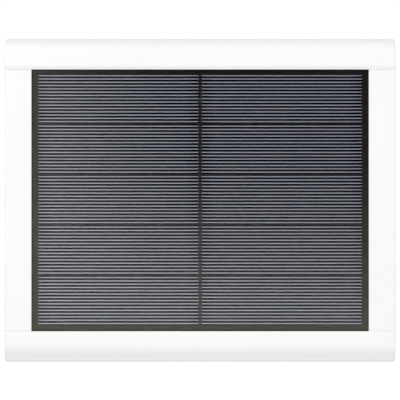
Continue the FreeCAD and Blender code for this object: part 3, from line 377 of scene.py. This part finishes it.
def conductor_lines():
    low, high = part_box("solar_cells")
    face = low.y  # the wafers' front, nearest to the viewer
    rows, lines = 5, 15
    row_pitch, pitch, lift = 0.0251, 0.00163, 0.00042
    half = 0.00069 / 2
    rise = 0.00005
    # a printed line's section: flat on the wafer, a low crown towards the glass
    section = [(-half, 0.0), (-half * 0.86, rise * 0.7), (-half * 0.45, rise), (half * 0.45, rise), (half * 0.86, rise * 0.7), (half, 0.0)]
    bm = bmesh.new()
    for side in (-1, 1):
        x_near, x_far = side * 0.00080, side * 0.08040
        x0, x1 = min(x_near, x_far), max(x_near, x_far)
        steps = 12
        for row in range(rows):
            for k in range(lines):
                z = lift + (row - (rows - 1) / 2) * row_pitch + (k - (lines - 1) / 2) * pitch
                rings = []
                for i in range(steps + 1):
                    x = x0 + (x1 - x0) * i / steps
                    # the ends of a printed line taper a little, and its width breathes slightly along its length
                    end = min(i, steps - i)
                    w = 0.72 if end == 0 else 1.0 + 0.006 * math.sin(i * 2.1 + k * 1.7 + row * 0.9 + side)
                    rings.append([bm.verts.new((x, face + 0.000002 - h, z + dz * w)) for dz, h in section])
                for a, b in zip(rings, rings[1:]):
                    for j in range(len(section)):
                        n = (j + 1) % len(section)
                        bm.faces.new((a[j], a[n], b[n], b[j]))
                bm.faces.new(list(reversed(rings[0])))
                bm.faces.new(rings[-1])
    bmesh.ops.recalc_face_normals(bm, faces=bm.faces)
    me = bpy.data.meshes.new("conductor_lines")
    bm.to_mesh(me)
    bm.free()
    obj = bpy.data.objects.new("conductor_lines", me)
    scene.collection.objects.link(obj)
    me.materials.append(paste("silver_paste"))
    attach(obj, "panel")
    return obj


conductor_lines()

# ------------------------------------------------------------------ floor, world and lights


def floor():
    bm = bmesh.new()
    bmesh.ops.create_circle(bm, cap_ends=True, radius=8.0, segments=160)
    me = bpy.data.meshes.new("studio_floor")
    bm.to_mesh(me)
    bm.free()
    obj = bpy.data.objects.new("studio_floor", me)
    obj.location = (0, 0, -1.2)
    scene.collection.objects.link(obj)
    t = Tree("floor_pale")
    soft = t.noise(2.5, 3, 0.5)
    away = t.new("ShaderNodeVectorMath")
    away.operation = "LENGTH"
    t.link(t.coord, away.inputs[0])
    # pale under the object, and paler outwards, where it meets the white wall
    near = t.mix(soft, (0.79, 0.79, 0.79), (0.82, 0.82, 0.82))
    pale = t.mix(t.span(away.outputs["Value"], 1.5, 6.5, 0, 1, smooth=True), near, (0.97, 0.97, 0.97))
    me.materials.append(t.surface(pale, t.span(soft, 0.3, 0.7, 0.7, 0.85)))
    # the floor is there to be seen; the light that comes up from below is the studio's own lower half
    obj.visible_diffuse = False
    obj.visible_glossy = False
    obj.visible_transmission = False
    obj.visible_shadow = False


floor()

FORE, CEILING, GROUND, REAR_LOW, REAR_HIGH = 0.784, -0.092, -0.102, 0.42, 0.66

world = bpy.data.worlds.new("studio")
scene.world = world
world.use_nodes = True
nt = world.node_tree
nt.nodes.clear()


def wmath(op, a, b=0.0, clamp=False):
    n = nt.nodes.new("ShaderNodeMath")
    n.operation = op
    n.use_clamp = clamp
    for socket, value in ((n.inputs[0], a), (n.inputs[1], b)):
        if isinstance(value, bpy.types.NodeSocket):
            nt.links.new(value, socket)
        else:
            socket.default_value = value
    return n.outputs[0]


def wspan(value, low, high, to_low, to_high):
    n = nt.nodes.new("ShaderNodeMapRange")
    n.clamp = True
    n.interpolation_type = "SMOOTHSTEP"
    nt.links.new(value, n.inputs["Value"])
    for key, v in (("From Min", low), ("From Max", high), ("To Min", to_low), ("To Max", to_high)):
        n.inputs[key].default_value = v
    return n.outputs["Result"]


tc = nt.nodes.new("ShaderNodeTexCoord")
sep = nt.nodes.new("ShaderNodeSeparateXYZ")
nt.links.new(tc.outputs["Generated"], sep.inputs[0])
dx, dy, dz = sep.outputs
depth = wmath("MAXIMUM", wmath("MULTIPLY", dy, -1.0), 0.05)
across = wmath("DIVIDE", dx, depth)
up = wmath("DIVIDE", dz, depth)
# In front of the panel the studio is dark above and to the right, and brightens softly downwards and to the left.
low_part = wspan(up, -0.0158 + 0.0372, -0.0158 - 0.0372, 0.0, 1.0)
left_part = wspan(wmath("ADD", across, wmath("MULTIPLY", up, 0.32)), -0.0411 + 0.050, -0.0411 - 0.050, 0.0, 1.0)
low_part = wmath("MULTIPLY", low_part, wspan(across, 0.066, 0.12, 1.0, 0.0))
dark = wmath("MULTIPLY", wmath("SUBTRACT", 1.0, low_part), wmath("SUBTRACT", 1.0, left_part))
lean = wspan(across, 0.05, -0.06, 1.09, 1.23)
front = wmath("MULTIPLY", lean, wmath("SUBTRACT", 1.0, wmath("MULTIPLY", dark, 0.973)))
near_axis = wspan(dy, -0.93, -0.985, 0.0, 1.0)
beyond = wmath("SUBTRACT", 1.0, near_axis)
# Round the front the walls are white, a little less above and below; behind the panel the room is dimmer.
fore = wspan(dy, 0.25, -0.15, 0.0, 1.0)
ceiling = wspan(dz, 0.35, 1.0, 0.0, 1.0)
ground = wspan(dz, 0.0, -0.5, 0.0, 1.0)
fore_level = wmath("ADD", wmath("ADD", wmath("MULTIPLY", ceiling, CEILING), wmath("MULTIPLY", ground, GROUND)), FORE)
rear_level = wmath("MULTIPLY", wmath("SUBTRACT", 1.0, fore), wspan(dz, -0.7, 0.8, REAR_LOW, REAR_HIGH))
around = wmath("ADD", wmath("MULTIPLY", fore, fore_level), rear_level)
level = wmath("ADD", wmath("MULTIPLY", front, near_axis), wmath("MULTIPLY", around, beyond))
lit = nt.nodes.new("ShaderNodeBackground")
lit.inputs["Color"].default_value = (1, 1, 1, 1)
nt.links.new(level, lit.inputs["Strength"])
seen = nt.nodes.new("ShaderNodeBackground")
seen.inputs["Color"].default_value = (1, 1, 1, 1)
seen.inputs["Strength"].default_value = 1.02
path = nt.nodes.new("ShaderNodeLightPath")
pick = nt.nodes.new("ShaderNodeMixShader")
nt.links.new(path.outputs["Is Camera Ray"], pick.inputs[0])
nt.links.new(lit.outputs[0], pick.inputs[1])
nt.links.new(seen.outputs[0], pick.inputs[2])
out = nt.nodes.new("ShaderNodeOutputWorld")
nt.links.new(pick.outputs[0], out.inputs["Surface"])


def softbox(name, at, width, height, power, aim=(0, -0.08, 0)):
    data = bpy.data.lights.new(name, "AREA")
    data.shape = "RECTANGLE"
    data.size, data.size_y = width, height
    data.energy = power
    obj = bpy.data.objects.new(name, data)
    obj.location = at
    obj.rotation_euler = (Vector(aim) - Vector(at)).to_track_quat("-Z", "Y").to_euler()
    obj.visible_camera = False
    scene.collection.objects.link(obj)
    return obj


softbox("key_left", (-1.3, -1.5, 0.7), 1.1, 1.3, 13.3)
softbox("key_right", (1.3, -1.5, 0.7), 1.1, 1.3, 6.8)
softbox("low_front", (0.0, -1.4, -0.6), 1.6, 0.3, 2.0)
softbox("rear_key", (-1.1, 1.5, 0.9), 0.7, 0.7, 6.0)
softbox("underside", (0.0, 0.15, -0.6), 0.4, 0.2, 0.86, aim=(0, -0.1, 0))
softbox("side_right", (1.6, -0.2, 0.15), 0.8, 0.6, 2.4)
softbox("floor_wash", (0.0, 0.0, -0.7), 22.0, 22.0, 470.0, aim=(0, 0, -2))

scene.view_settings.view_transform = "Standard"
scene.view_settings.look = "None"
scene.view_settings.exposure = 0.0
scene.view_settings.gamma = 1.0
scene.cycles.transparent_max_bounces = 24
